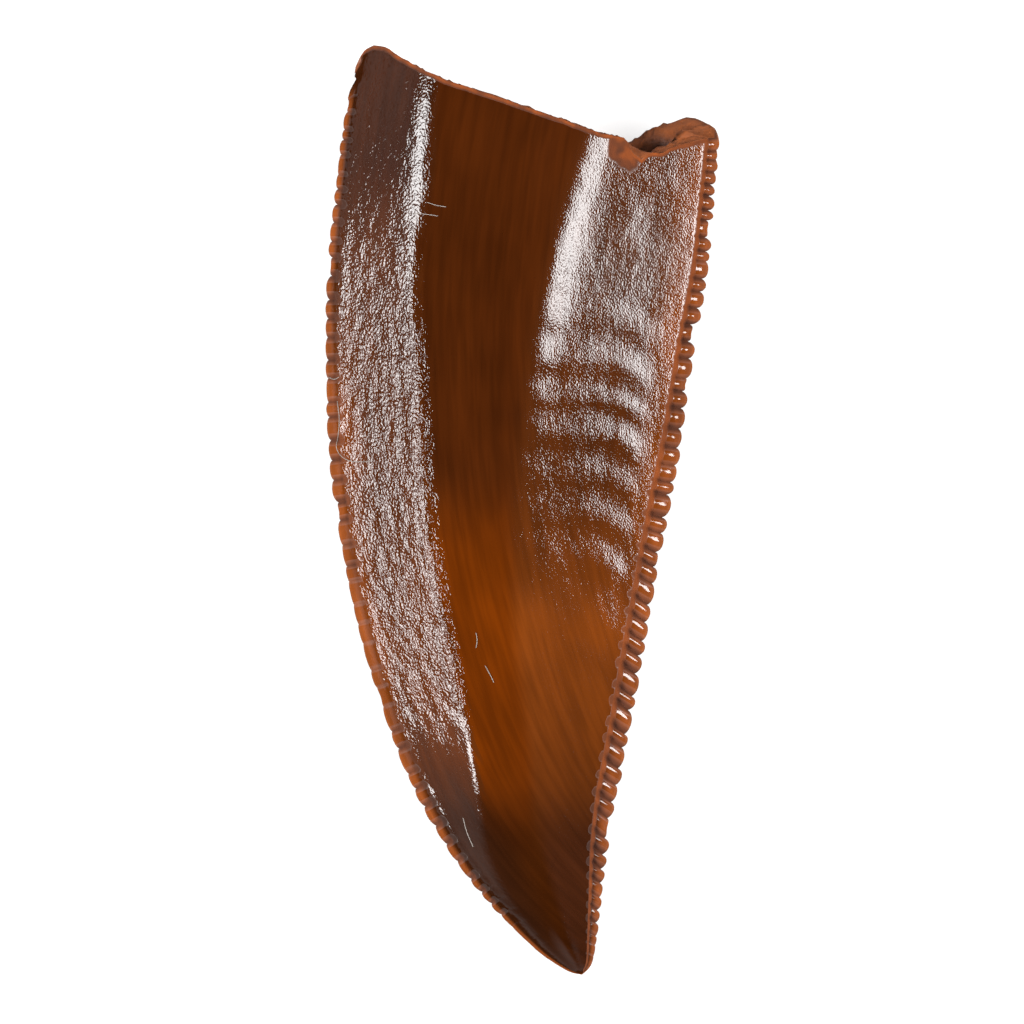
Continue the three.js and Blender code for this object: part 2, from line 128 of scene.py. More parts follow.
def between_stations(values, t):
    """Smooth change of a section number along the crown."""
    t = np.clip(t, 0, 1)
    slopes = np.gradient(np.array(values, float), STATIONS)
    i = np.clip(np.searchsorted(STATIONS, t, side="right") - 1, 0, len(STATIONS) - 2)
    values, stations = np.array(values, float), np.array(STATIONS, float)
    gap = stations[i + 1] - stations[i]
    u = (t - stations[i]) / gap
    start = values[i] * (2 * u**3 - 3 * u**2 + 1) + slopes[i] * gap * (u**3 - 2 * u**2 + u)
    end = values[i + 1] * (3 * u**2 - 2 * u**3) + slopes[i + 1] * gap * (u**3 - u**2)
    return start + end


def lerp(ends, share):
    return ends[0] + (ends[1] - ends[0]) * share


def smoothstep(x, low, high):
    s = np.clip((x - low) / (high - low), 0, 1)
    return s * s * (3 - 2 * s)


def plateau(x, rise_start, rise_end, fall_start, fall_end):
    return smoothstep(x, rise_start, rise_end) * (1 - smoothstep(x, fall_start, fall_end))


def bell(x, centre, spread):
    return np.exp(-(((x - centre) / spread) ** 2))


def carina_level(t, v):
    """Height of the straight line from carina to carina; the distal one lies higher."""
    t = np.clip(t, 0, 1)
    drop = (MESIAL_CARINA_HEIGHT - APEX_HEIGHT) * t**CARINA_DROP_POWER
    return MESIAL_CARINA_HEIGHT - drop + between_stations(DISTAL_CARINA_RISE, t) * v


def soft_ramp(x, knee, rounding):
    """0 before the knee, a slope of 1 after it, with a rounded turn."""
    return rounding * (np.logaddexp(0, (x - knee) / rounding) - np.logaddexp(0, -knee / rounding))


def side_profile(face, t, v):
    """Height of the section over the carinae, as a share of the side's thickness."""
    a = between_stations(BAND_MESIAL[face], t)
    b = between_stations(BAND_DISTAL[face], t)
    first_round = between_stations(MESIAL_ROUNDING[face], t)
    second_round = between_stations(DISTAL_ROUNDING[face], t)
    flank_slope = 1 / a
    band_slope = (between_stations(BAND_DISTAL_HEIGHT[face], t) - 1) / (b - a)

    def first_turn(x):
        return (flank_slope - band_slope) * soft_ramp(x, a, first_round)

    def second_turn(x):
        step = between_stations(STEP_SHARE[face], t) * soft_ramp(x, b + STEP_WIDTH, STEP_ROUNDING)
        return soft_ramp(x, b, second_round) - step

    drop = (flank_slope - first_turn(1.0)) / second_turn(1.0)
    return flank_slope * v - first_turn(v) - drop * second_turn(v)


# --- wrinkles: the distance of each furrow from the base, in mm, and how high each ridge stands
DISTAL_FURROWS = [5.5, 6.85, 8.3, 9.2, 10.55, 11.7, 13.0, 14.6, 16.5]
DISTAL_RIDGE_HEIGHTS = [0.013, 0.032, 0.024, 0.035, 0.02, 0.027, 0.032, 0.018]
MESIAL_FURROWS = [13.4, 14.5, 15.4, 16.5, 17.4, 18.6, 19.7]
MESIAL_RIDGE_HEIGHTS = [0.008, 0.012, 0.01, 0.012, 0.014, 0.01]
ARCH_START, ARCH_DROP = 0.74, 20.0
SWELL_PLACE, SWELL_SPREAD, EDGE_SWELL = 0.975, 0.045, 0.02
SWELL_REACH = 0.12, 0.3, 0.5, 0.62
DISTAL_REACH, MESIAL_REACH = (0.5, 0.6, 0.82, 0.92), (0.03, 0.08, 0.2, 0.34)
DISTAL_SLANT, DISTAL_SLANT_END, MESIAL_SLANT = 1.2, 0.72, 3.0
OUTSIDE_FURROW, INSIDE_FURROW = 0.1, 0.3
UNEVENNESS, UNEVENNESS_WAVELENGTH = 0.005, 1.3
FLAKE_TOP, FLAKE_MIDDLE, FLAKE_SPREAD, FLAKE_DEPTH = 0.834, 0.64, 0.28, 0.022
FLAKE_STEP, FLAKE_END = (0, 0.008), (0.88, 0.95)
TIP_BUMP, TIP_BUMP_ACROSS, TIP_BUMP_ALONG = 0.12, (0.5, 0.12), (0.955, 0.035)
SHORTEST_WAVE, LONGEST_WAVE, LARGEST_PHASE = 0.7, 1.5, 7


def wrinkles(s, furrows, heights):
    """Rounded ridges between furrows, in mm; 0 in a furrow and outside the row of ridges."""
    phase = np.interp(s, furrows, np.arange(len(furrows)))
    middles = np.arange(len(heights)) + 0.5
    height = np.interp(phase, middles, heights)
    first, final = furrows[0], furrows[-1]
    rising = first - OUTSIDE_FURROW, first + INSIDE_FURROW
    falling = final - INSIDE_FURROW, final + OUTSIDE_FURROW
    return height * (1 - np.cos(2 * np.pi * phase)) * plateau(s, *rising, *falling)


def waves(x, y, wavelength, seed, count=14):
    """Gentle random undulation, about -1 to 1."""
    rng = np.random.default_rng(seed)
    total = np.zeros(np.broadcast(x, y).shape)
    for _ in range(count):
        heading = rng.uniform(0, 2 * np.pi)
        pull = 2 * np.pi / (wavelength * rng.uniform(SHORTEST_WAVE, LONGEST_WAVE))
        forward = x * np.cos(heading) + y * np.sin(heading)
        total += np.sin(pull * forward + rng.uniform(0, LARGEST_PHASE))
    return total / np.sqrt(count)


def relief(face, t, v, s, across):
    """Everything that stands over or sinks under the plain section, in mm outwards."""
    arch = ARCH_DROP * np.clip(v - ARCH_START, 0, 1) ** 2
    arch = arch + DISTAL_SLANT * np.clip(DISTAL_SLANT_END - v, 0, 1)
    rise = wrinkles(s - arch, DISTAL_FURROWS, DISTAL_RIDGE_HEIGHTS) * plateau(v, *DISTAL_REACH)
    slanted = s + MESIAL_SLANT * v
    rise += wrinkles(slanted, MESIAL_FURROWS, MESIAL_RIDGE_HEIGHTS) * plateau(v, *MESIAL_REACH)
    rise += EDGE_SWELL * bell(v, SWELL_PLACE, SWELL_SPREAD) * plateau(t, *SWELL_REACH)
    rise += UNEVENNESS * waves(across, s, UNEVENNESS_WAVELENGTH, seed=3 + face)
    if face == UPPER:
        inside = t - FLAKE_TOP - FLAKE_SPREAD * np.abs(v - FLAKE_MIDDLE)
        rise -= FLAKE_DEPTH * smoothstep(inside, *FLAKE_STEP) * (1 - smoothstep(t, *FLAKE_END))
        rise += TIP_BUMP * bell(v, *TIP_BUMP_ACROSS) * bell(t, *TIP_BUMP_ALONG)
    return rise


# --- saw edges: sizes in mm, places and depths in shares unless a name says otherwise
DENTICLES = 54
FINEST_AT_ENDS, EVEN_MIDDLE, COARSEST_LATE = 0.21, 0.08, 0.05
ZONE_STATIONS = [0, 0.1, 0.3, 0.42, 0.78, 0.85, 0.9, 0.95, 1]
DENTICLE_ZONE = {
    "mesial": [0.27, 0.3, 0.4, 0.46, 0.42, 0.34, 0.27, 0.2, 0.1],
    "distal": [0.42, 0.46, 0.57, 0.66, 0.66, 0.54, 0.42, 0.3, 0.12],
}
ROOT_SHARE = {"mesial": 0.7, "distal": 1.0}
NOTCH_DEPTH = {"mesial": 0.12, "distal": 0.21}
NOTCH_CUT = {"mesial": 0.34, "distal": 0.6}
EDGE_THICKNESS = {"mesial": 0.16, "distal": 0.17}
KNOB_PLACE, KNOB_SPREAD, KNOB_HEIGHT = 0.4, 0.13, 0.035
BEAD_PLACE, BEAD_SPREAD, BEAD_HEIGHT = 0.45, 0.2, 0.02
ROOT_PLACE, ROOT_SPREAD = 0.08, 0.13
KNOB_REACH, BEAD_REACH = (0.12, 0.25), (-1, 0, 0.3, 0.5)
CUT_REACH, GROOVE_REACH = (0, 0.25), (-0.3, -0.1)
CREST_SQUARENESS, CREST_FULLNESS, CROWN_SQUARENESS = 2.1, 0.65, 1.35
SMALLEST_DENTICLE, LARGEST_DENTICLE = 0.5, 1.2
FIRST_MESIAL_ONES, LAST_MESIAL_ONE, FADING_DENTICLES = (1.5, 3.5), 50, 5
LOW_STRETCH, LOW_STRETCH_LOSS = (24, 28, 34, 38), 0.45
EVERYDAY_WEAR, WORN_SPREAD = 0.25, 0.45
FULL_SIZE_WIDTH, LARGEST_ZONE_SHARE = 3, 0.3
MIDDLE_OF_WIDTH = 0.1, 0.9
LEAN_STATIONS = [0, 0.3, 0.45, 0.5, 0.56, 0.7, 1]
DENTICLE_LEAN = {
    "mesial": [0, 0.08, 0.15, 0.17, 0.2, 0.3, 0.7],
    "distal": [-0.1, -0.04, 0.12, 0.34, 0.6, 0.7, 0.85],
}
SPACING_JITTER = 0.18
WORN = {
    "mesial": {0: 1, 1: 1, 3: 0.6, 13: 0.9, 25: 0.9, 34: 0.5},
    "distal": {7: 0.7, 14: 0.8, 17: 0.6, 27: 0.4, 42: 0.5},
}
ROWS_A_DENTICLE = [0, 0.04, 0.1, 0.18, 0.28, 0.4, 0.52, 0.64, 0.76, 0.86, 0.94]
LAST_ROW = 0.993
RIM_ROWS_END = 4 / DENTICLES


def evened_out(tau):
    """Share of the crown's length at a share of its rows: fine at both ends, coarsest late."""
    turn = 2 * np.pi * tau
    finer = FINEST_AT_ENDS * np.sin(turn) + EVEN_MIDDLE * np.sin(2 * turn) / 2
    return tau - (finer + COARSEST_LATE * (1 - np.cos(turn))) / (2 * np.pi)


def row_taus(seed):
    """The rows of one carina, each denticle a little longer or shorter than its neighbours."""
    rng = np.random.default_rng(seed)
    starts = np.arange(DENTICLES + 1) + SPACING_JITTER * (rng.random(DENTICLES + 1) - 0.5) * 2
    starts[0], starts[-1] = 0, DENTICLES
    lengths = np.diff(starts)[:, None]
    return (starts[:-1, None] + lengths * np.array(ROWS_A_DENTICLE)).ravel() / DENTICLES


phases = np.tile(ROWS_A_DENTICLE, DENTICLES)
numbers = np.repeat(np.arange(DENTICLES), len(ROWS_A_DENTICLE))
kept = (numbers + phases) / DENTICLES < LAST_ROW
phases, numbers = phases[kept], numbers[kept]
from_middle = np.abs(2 * phases - 1)
CREST = (1 - from_middle**CREST_SQUARENESS) ** CREST_FULLNESS
CROWN = 1 - from_middle**CROWN_SQUARENESS
taus = {"mesial": row_taus(11)[kept], "distal": row_taus(12)[kept]}


def denticle_sizes(carina, seed):
    """How far each notch is cut, from 0 to about 1, for every row."""
    rng = np.random.default_rng(seed)
    number = np.arange(DENTICLES)
    size = rng.uniform(SMALLEST_DENTICLE, LARGEST_DENTICLE, DENTICLES)
    size *= smoothstep(number, *FIRST_MESIAL_ONES) if carina == "mesial" else 1
    last = LAST_MESIAL_ONE if carina == "mesial" else DENTICLES - 0.5
    size *= 1 - smoothstep(number, last - FADING_DENTICLES, last)
    if carina == "mesial":
        size *= 1 - LOW_STRETCH_LOSS * plateau(number, *LOW_STRETCH)
    return np.interp(numbers + phases, number + 0.5, size)


def wear(carina, seed):
    """How far each row's edge is worn back, as a share of the notch depth."""
    rng = np.random.default_rng(seed)
    total = EVERYDAY_WEAR * rng.random(DENTICLES)[numbers] * CREST
    for number, amount in WORN[carina].items():
        total += amount * bell(numbers + phases, number + 0.5, WORN_SPREAD)
    return total


sizes = {"mesial": denticle_sizes("mesial", 5), "distal": denticle_sizes("distal", 6)}
worn = {"mesial": wear("mesial", 7), "distal": wear("distal", 8)}
mean_tau = (taus["mesial"] + taus["distal"]) / 2


def width_at(t):
    (mx, my), (dx, dy) = mesial_edge.at(t), distal_edge.at(t)
    return np.hypot(dx - mx, dy - my)


row_t = evened_out(mean_tau)
row_width = width_at(row_t)
zones = {
    carina: np.minimum(np.interp(row_t, ZONE_STATIONS, zone), LARGEST_ZONE_SHARE * row_width)
    for carina, zone in DENTICLE_ZONE.items()
}
small = np.clip(row_width / FULL_SIZE_WIDTH, 0, 1)[:, None]

# --- broken rim: (share of the width from mesial to distal, mm above the base line)
UPPER_RIM = [
    (0, -0.67), (0.003, -0.17), (0.008, 0.09), (0.017, 0.32), (0.034, 0.51), (0.069, 0.51),
    (0.087, 0.47), (0.112, 0.31), (0.146, 0.2), (0.192, 0.03), (0.249, -0.11), (0.402, -0.27),
    (0.568, -0.49), (0.651, -0.62), (0.698, -0.64), (0.744, -0.61), (0.757, -0.83), (0.774, -1.06),
    (0.798, -1.16), (0.807, -0.98), (0.818, -0.88), (0.851, -0.8), (0.866, -0.61), (0.895, -0.42),
    (0.932, -0.22), (0.966, -0.02), (1, 0.14),
]
LOWER_RIM = [
    (0, -0.67), (0.008, -0.05), (0.034, 0.36), (0.069, 0.36), (0.112, 0.15), (0.192, -0.15),
    (0.4, -0.47), (0.568, -0.7), (0.698, -0.84), (0.74, -0.8), (0.759, -0.65), (0.781, -0.48),
    (0.797, -0.22), (0.818, 0.05), (0.846, 0.24), (0.862, 0.12), (0.871, -0.1), (0.887, 0.3),
    (0.9, 0.61), (0.928, 0.62), (0.958, 0.55), (0.982, 0.4), (1, 0.2),
]
RIM = {UPPER: np.array(UPPER_RIM), LOWER: np.array(LOWER_RIM)}
RAGGEDNESS, RAGGED_WAVELENGTH, RAGGED_REACH = 0.012, 0.5, (0.0, 0.03, 0.97, 1.0)
RIM_WIDTH = 11.3


def rim_share(face, v):
    """The rim's place along the crown, as a share of its length."""
    plain = np.interp(v, *RIM[face].T)
    ragged = plain + RAGGEDNESS * waves(v * RIM_WIDTH, 0 * v, RAGGED_WAVELENGTH, seed=20 + face)
    return -(plain + (ragged - plain) * plateau(v, *RAGGED_REACH)) / crown_length


# --- the grid: rows from base to apex, columns round the section
ZONE_COLUMNS, ZONE_CROWDING = {"mesial": 10, "distal": 14}, 1.25
FLAT_ENDS = 0.7, 0.92
INNER_COLUMNS = {
    UPPER: np.interp(range(62), [0, 12, 19, 26, 38, 50, 61], [0, 0.2, 0.3, 0.56, 0.74, 0.84, 1]),
    LOWER: np.interp(range(40), [0, 14, 34, 39], [0, 0.72, 0.94, 1]),
}


def across_share(face):
    """Unnotched place across the section, from 0 at the mesial to 1 at the distal carina."""
    mesial, distal = (zones[c][:, None] / row_width[:, None] for c in ("mesial", "distal"))
    zone_m, zone_d = (
        np.linspace(0, 1, ZONE_COLUMNS[c], endpoint=False) ** ZONE_CROWDING for c in ("mesial", "distal")
    )
    inner = INNER_COLUMNS[face]
    return np.concatenate(
        [zone_m * mesial, mesial + inner * (1 - mesial - distal), 1 - zone_d[::-1] * distal], axis=1
    )


def crown_point(face, t, v, place=None):
    """x, y, z on the crown without its denticles; place is where the section is read."""
    place = v if place is None else place
    (mx, my), (dx, dy) = mesial_edge.at(t), distal_edge.at(t)
    width = np.hypot(dx - mx, dy - my)
    share = np.clip(t, 0, 1)
    level = carina_level(share, place)
    half = width * between_stations(THICKNESS[face], share)
    if face == LOWER:
        resting = level + RESTING_FLAT
        half = resting + (half - resting) * smoothstep(share, *FLAT_ENDS)
    s, across = t * crown_length, place * width
    thin = smoothstep(width, 0, FULL_SIZE_WIDTH)
    rise = half * side_profile(face, share, place) + thin * relief(face, share, place, s, across)
    return mx + (dx - mx) * v, my + (dy - my) * v, level + face * rise


def saw_edge(carina, inward):
    """One saw edge: push inwards, share of the full thickness, cut, nearness, depth of groove."""
    zone = zones[carina][:, None]
    size = sizes[carina][:, None]
    near = np.clip(1 - inward / zone, 0, 1)
    notch = size * (1 - CREST[:, None])
    push = NOTCH_DEPTH[carina] * small * (notch + worn[carina][:, None]) * near
    u = np.clip(inward / (ROOT_SHARE[carina] * zone), 0, 1)
    share = np.sqrt(u * (2 - u))
    between = size * (1 - CROWN[:, None])
    cut = NOTCH_CUT[carina] * between * smoothstep(near, *CUT_REACH)
    groove = between * smoothstep(1 - inward / zone, *GROOVE_REACH)
    return push, share, cut, near, groove


def crown_side(face):
    """Every point of one side, with the numbers that its colouring needs."""
    flat = across_share(face)
    width = row_width[:, None]
    from_mesial, from_distal = flat * width, (1 - flat) * width
    push_m, share_m, cut_m, near_m, groove_m = saw_edge("mesial", from_mesial)
    push_d, share_d, cut_d, near_d, groove_d = saw_edge("distal", from_distal)
    v = flat + (push_m - push_d) / width
    blend = smoothstep(flat, *MIDDLE_OF_WIDTH)
    tau = lerp((taus["mesial"][:, None], taus["distal"][:, None]), blend)
    leans = [
        np.interp(mean_tau, LEAN_STATIONS, DENTICLE_LEAN[c])[:, None] for c in ("mesial", "distal")
    ]
    zone = lerp((zones["mesial"][:, None], zones["distal"][:, None]), blend)
    from_edge = np.minimum(from_mesial, from_distal)
    shift = lerp(leans, blend) * np.minimum(from_edge, zone) / crown_length
    t = evened_out(tau) - shift
    rim_end = evened_out(RIM_ROWS_END) - shift
    stretch = np.clip(tau / RIM_ROWS_END, 0, 1)
    rim = rim_share(face, v)
    t = np.where(tau < RIM_ROWS_END, rim + (rim_end - rim) * stretch, t)
    x, y, z = crown_point(face, t, v, flat)
    thickness = lerp((EDGE_THICKNESS["mesial"], EDGE_THICKNESS["distal"]), flat)
    edge = thickness * small * share_m * share_d
    level = carina_level(t, flat)
    knob = KNOB_HEIGHT * sizes["mesial"][:, None] * CREST[:, None] * small
    edge = edge + knob * bell(from_mesial, KNOB_PLACE, KNOB_SPREAD) * smoothstep(t, *KNOB_REACH)
    bead = BEAD_HEIGHT * sizes["distal"][:, None] * CROWN[:, None] * small * plateau(t, *BEAD_REACH)
    towards_root = from_distal / zones["distal"][:, None]
    edge = edge + bead * bell(towards_root, BEAD_PLACE, BEAD_SPREAD)
    z = level + (z - level + face * edge) * (1 - cut_m) * (1 - cut_d)
    z = np.maximum(z, 0.0)
    return {
        "xyz": np.stack([x, y, z], -1),
        "along": t,
        "across": v,
        "denticle": np.maximum(near_m, near_d),
        "groove": groove_m + groove_d,
        "root": bell(1 - towards_root, ROOT_PLACE, ROOT_SPREAD),
        "side": np.full_like(t, face),
        "past_rim": (t - rim_share(face, v)) * crown_length,
        "past_mesial": v - between_stations(BAND_MESIAL[face], t),
        "past_distal": v - between_stations(BAND_DISTAL[face], t),
    }


upper, lower = crown_side(UPPER), crown_side(LOWER)
ring = {key: np.concatenate([upper[key], lower[key][:, -2:0:-1]], axis=1) for key in upper}
rows, columns = ring["along"].shape
faces_of_column = ring["side"][0]

# --- break face and pulp cavity, from the outer rim inwards and down to the cavity's end
CAVITY_DEPTH = 5.2
CAVITY_WIDTH_SHARE = 0.82
CAVITY_HEIGHT_SHARE = 0.53
BREAK_RINGS = 7
CAVITY_RINGS = 16
SEAM_WIDTH = 0.15
BREAK_BEVEL, BEVEL_FADE = 0.03, 8
LUMPS, LUMP_WAVELENGTH = 0.05, 0.45
CRUMBS, CRUMB_WAVELENGTH = 0.02, 0.2

rim_v = ring["across"][0]


def cavity_ring(depth):
    """One ring of the cavity wall: a smaller copy of the section, deeper and narrower."""
    shrink = np.sqrt(max(1 - depth**2, 0))
    v = 0.5 + (rim_v - 0.5) * CAVITY_WIDTH_SHARE * shrink
    seam = np.minimum(rim_v, 1 - rim_v)
    upper_share = 0.5 + 0.5 * faces_of_column * smoothstep(seam, 0, SEAM_WIDTH)
    rim = lerp((rim_share(LOWER, v), rim_share(UPPER, v)), upper_share)
    t = rim * (1 - depth) + depth * CAVITY_DEPTH / crown_length
    outside = np.empty(columns)
    for face in (UPPER, LOWER):
        here = faces_of_column == face
        outside[here] = crown_point(face, t[here], rim_v[here])[2]
    (mx, my), (dx, dy) = mesial_edge.at(t), distal_edge.at(t)
    level = carina_level(t, rim_v)
    z = level + (np.maximum(outside, 0) - level) * CAVITY_HEIGHT_SHARE * shrink
    return np.stack([mx + (dx - mx) * v, my + (dy - my) * v, z], -1)


outer_rim = ring["xyz"][0]
inner_rim = cavity_ring(0.0)
break_rings = []
for k in range(1, BREAK_RINGS + 1):
    share = k / BREAK_RINGS
    line = outer_rim + (inner_rim - outer_rim) * share
    rough = LUMPS * waves(line[:, 0], line[:, 2] * 2, LUMP_WAVELENGTH, seed=31)
    rough = rough + CRUMBS * waves(line[:, 0], line[:, 2], CRUMB_WAVELENGTH, seed=32)
    line[:, 1] += BREAK_BEVEL * np.sin(np.pi * share / 2) + rough * min(1, 2 * share)
    break_rings.append(line)
depths = np.linspace(0, 1, CAVITY_RINGS + 1)[1:-1]
cavity_rings = []
for depth in depths:
    line = cavity_ring(depth)
    line[:, 1] += BREAK_BEVEL * (1 - depth) ** BEVEL_FADE
    cavity_rings.append(line)
cavity_end_t = np.array([CAVITY_DEPTH / crown_length])
(mx, my), (dx, dy) = mesial_edge.at(cavity_end_t), distal_edge.at(cavity_end_t)
cavity_end = np.array([[(mx + dx)[0] / 2, (my + dy)[0] / 2, carina_level(cavity_end_t, 0.5)[0]]])
apex = np.array([[*MESIAL_LINE[-1], APEX_HEIGHT]])

# --- mesh: rings from the cavity's end out over the rim and down the crown to the apex
inside = [*reversed(cavity_rings), *reversed(break_rings)]
points = np.concatenate([cavity_end, *inside, ring["xyz"].reshape(-1, 3), apex])
ring_count = len(inside) + rows
start = 1 + np.arange(ring_count - 1)[:, None] * columns
column = np.arange(columns)[None, :]
after = (column + 1) % columns
below = start + columns
quads = np.stack([start + column, below + column, below + after, start + after], -1).reshape(-1, 4)
last = 1 + (ring_count - 1) * columns
column, after = column[0], after[0]
cavity_fan = np.stack([np.zeros(columns, int), 1 + column, 1 + after], -1)
apex_fan = np.stack([last + column, np.full(columns, len(points) - 1), last + after], -1)

cad_low, cad_high = (np.array(corner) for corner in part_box("tooth"))
low, high = points.min(0), points.max(0)
plan_middle = (low + high) / 2 * [1, 1, 0]
cad_middle = (cad_low + cad_high) / 2 * [1, 1, 0]
points = (points - plan_middle) * MM + cad_middle

mesh = bpy.data.meshes.new("tooth_crown")
mesh_faces = cavity_fan.tolist() + quads.tolist() + apex_fan.tolist()
mesh.from_pydata(points.tolist(), [], mesh_faces)
mesh.polygons.foreach_set("use_smooth", [True] * len(mesh.polygons))
broken = columns + len(inside) * columns
mesh.polygons.foreach_set("material_index", [1] * broken + [0] * (len(mesh.polygons) - broken))


def per_point(values):
    """One number for every point of the mesh; 0 in the cavity and on the break."""
    return np.concatenate([np.zeros(1 + len(inside) * columns), values.ravel(), values[-1:, 0]])


cavity_share = np.concatenate(
    [[1.0], np.repeat(depths[::-1], columns), np.zeros(BREAK_RINGS * columns)]
)
NAMED = (
    "along", "across", "denticle", "groove", "root", "past_rim", "past_mesial", "past_distal",
)
attributes = {name: per_point(ring[name]) for name in NAMED}
attributes["depth"] = np.concatenate([cavity_share, np.zeros(rows * columns + 1)])
for name, values in attributes.items():
    mesh.attributes.new(name, "FLOAT", "POINT").data.foreach_set("value", values.astype(np.float32))
grain_place = np.stack(
    [
        per_point(ring["across"] * width_at(ring["along"])),
        per_point(ring["along"] * crown_length),
        per_point(ring["side"]),
    ],
    -1,
)
grain_place = grain_place.astype(np.float32).ravel()
mesh.attributes.new("grain", "FLOAT_VECTOR", "POINT").data.foreach_set("vector", grain_place)
mesh.validate()
crown = bpy.data.objects.new("tooth_crown", mesh)
bpy.context.collection.objects.link(crown)


# --- materials
class Shader:
    """A few short calls that lay out a material's nodes."""

    def __init__(self, name):
        self.material = bpy.data.materials.new(name)
        self.material.use_nodes = True
        self.nodes = self.material.node_tree.nodes
        self.links = self.material.node_tree.links
        self.surface = self.nodes["Principled BSDF"]

    def node(self, kind, inputs=(), **settings):
        node = self.nodes.new(kind)
        for key, value in settings.items():
            setattr(node, key, value)
        for key, value in dict(inputs).items():
            self.feed(node.inputs[key], value)
        return node

    def feed(self, socket, value):
        if isinstance(value, bpy.types.NodeSocket):
            self.links.new(value, socket)
        else:
            socket.default_value = value

    def number(self, name):
        return self.node("ShaderNodeAttribute", attribute_name=name).outputs["Fac"]

    def place(self, name):
        return self.node("ShaderNodeAttribute", attribute_name=name).outputs["Vector"]

    def math(self, operation, *values):
        return self.node("ShaderNodeMath", dict(enumerate(values)), operation=operation).outputs[0]

    def fade(self, value, low, high, start=0.0, end=1.0):
        """Smooth change from start to end while value goes from low to high."""
        inputs = {"Value": value, "From Min": low, "From Max": high, "To Min": start, "To Max": end}
        return self.node("ShaderNodeMapRange", inputs, interpolation_type="SMOOTHSTEP").outputs["Result"]

    def times(self, first, second):
        return self.math("MULTIPLY", first, second)

    def larger(self, first, second):
        return self.math("MAXIMUM", first, second)

    def mix(self, share, first, second, blend_type="MIX"):
        node = self.node("ShaderNodeMix", data_type="RGBA", blend_type=blend_type)
        for socket, value in zip((node.inputs[0], *node.inputs[6:8]), (share, first, second)):
            self.feed(socket, value)
        return node.outputs[2]

    def scaled(self, vector, scale):
        return self.node("ShaderNodeVectorMath", {0: vector, 1: scale}, operation="MULTIPLY").outputs[0]

    def noise(self, vector, scale, detail, roughness=0.5):
        inputs = {
            "Vector": self.scaled(vector, scale), "Scale": 1.0, "Detail": detail,
            "Roughness": roughness,
        }
        return self.node("ShaderNodeTexNoise", inputs).outputs[0]

    def bump(self, height, distance):
        inputs = {"Height": height, "Distance": distance, "Strength": 1.0}
        return self.node("ShaderNodeBump", inputs).outputs[0]


BAND_BROWN = (0.053, 0.0106, 0.0011, 1)
AMBER_GLOW = (0.126, 0.0225, 0.0004, 1)
FLANK_BROWN = (0.068, 0.0155, 0.0022, 1)
RUSSET = (0.165, 0.036, 0.0035, 1)
ROOT_BROWN = (0.042, 0.0098, 0.0022, 1)
DENTICLE_ORANGE_AND_GLOW = (0.26, 0.064, 0.014, 1)
THIN_EDGE_GLOW = (0.34, 0.095, 0.024, 1)
STRIP_ORANGE = (0.22, 0.044, 0.001, 1)
GROOVE_SHADE = (0.07, 0.014, 0.001, 1)
TIP_DARK = (0.03, 0.0078, 0.002, 1)
TIP_BROWN = (0.035, 0.0074, 0.0006, 1)
TIP_RUSSET = (0.042, 0.0105, 0.003, 1)
CHIP_ORANGE = (0.25, 0.05, 0.002, 1)
CHIP_BROWN = (0.13, 0.027, 0.002, 1)

# where a colour or finish fades in or out: shares of the length (along) or of the width (across),
# mm past the rim, or shares of a denticle or groove
AMBER_STARTS, AMBER_ENDS = (0.4, 0.52), (0.68, 0.84)
BAND_STARTS, BAND_ENDS = (-0.01, 0.03), (-0.06, 0.015)
RUSSET_STARTS, RUSSET_ENDS, RUSSET_SIDE = (0.4, 0.6), (0.56, 0.84), (0.3, 0.6)
DISTAL_STRIP, MESIAL_STRIP, MESIAL_STRIP_STARTS = (0.84, 0.95), (0.02, 0.14), (0.2, 0.4)
OLD_ROOT_ENDS, OLD_ROOT_SIDE = (0.1, 0.22), (0.2, 0.3)
TIP_STARTS, TIP_LEAN_SIDE, TIP_LEAN = (0.74, 0.85), (0.2, 0.45), 0.05
TIP_BROWN_SIDE, TIP_RUSSET_SIDE = (0.2, 0.5), (0.52, 0.62)
CHIP_ENDS, CHIP_LEFT, CHIP_RIGHT = (0.0, 1.2), (0.69, 0.74), (0.75, 0.8)
BROKEN_EDGE, UNEVEN_CHIP = (0.04, 0.16), 0.25
ON_TEETH, TEETH_START, TEETH_SIDE = (0.12, 0.75), (0.02, 0.05), (0.4, 0.6)
THIN_EDGE, STRIP_PLACE, STRIP_SHARE = (0.8, 1.0), (0.2, 0.8), 0.8
GROOVE_PLACE, GROOVE_SHARE, GROOVE_ROOT = (0.2, 0.8), 0.85, (0.0, 0.3)
RAGGED_LINE = 0.02
STREAK_SHADE, BLOTCH_SHADE = (0.86, 1.14), (0.85, 1.15)
STREAK_SCALE, BLOTCH_SCALE, RAGGED_SCALE = (5.0, 0.35, 1.0), (0.55, 0.3, 1.0), (6.0, 0.9, 1.0)
CRUMBLE_SCALE, CRUMBLE_SHARE = (2.2, 2.2, 1.0), (0.35, 0.65)
NOISE_RANGE = 0.3, 0.7

enamel = Shader("fossil_enamel")
fade, times, larger = enamel.fade, enamel.times, enamel.larger
along, across = enamel.number("along"), enamel.number("across")
denticle, groove, root = (enamel.number(name) for name in ("denticle", "groove", "root"))
past_mesial, past_distal = enamel.number("past_mesial"), enamel.number("past_distal")
past_rim, grain = enamel.number("past_rim"), enamel.place("grain")

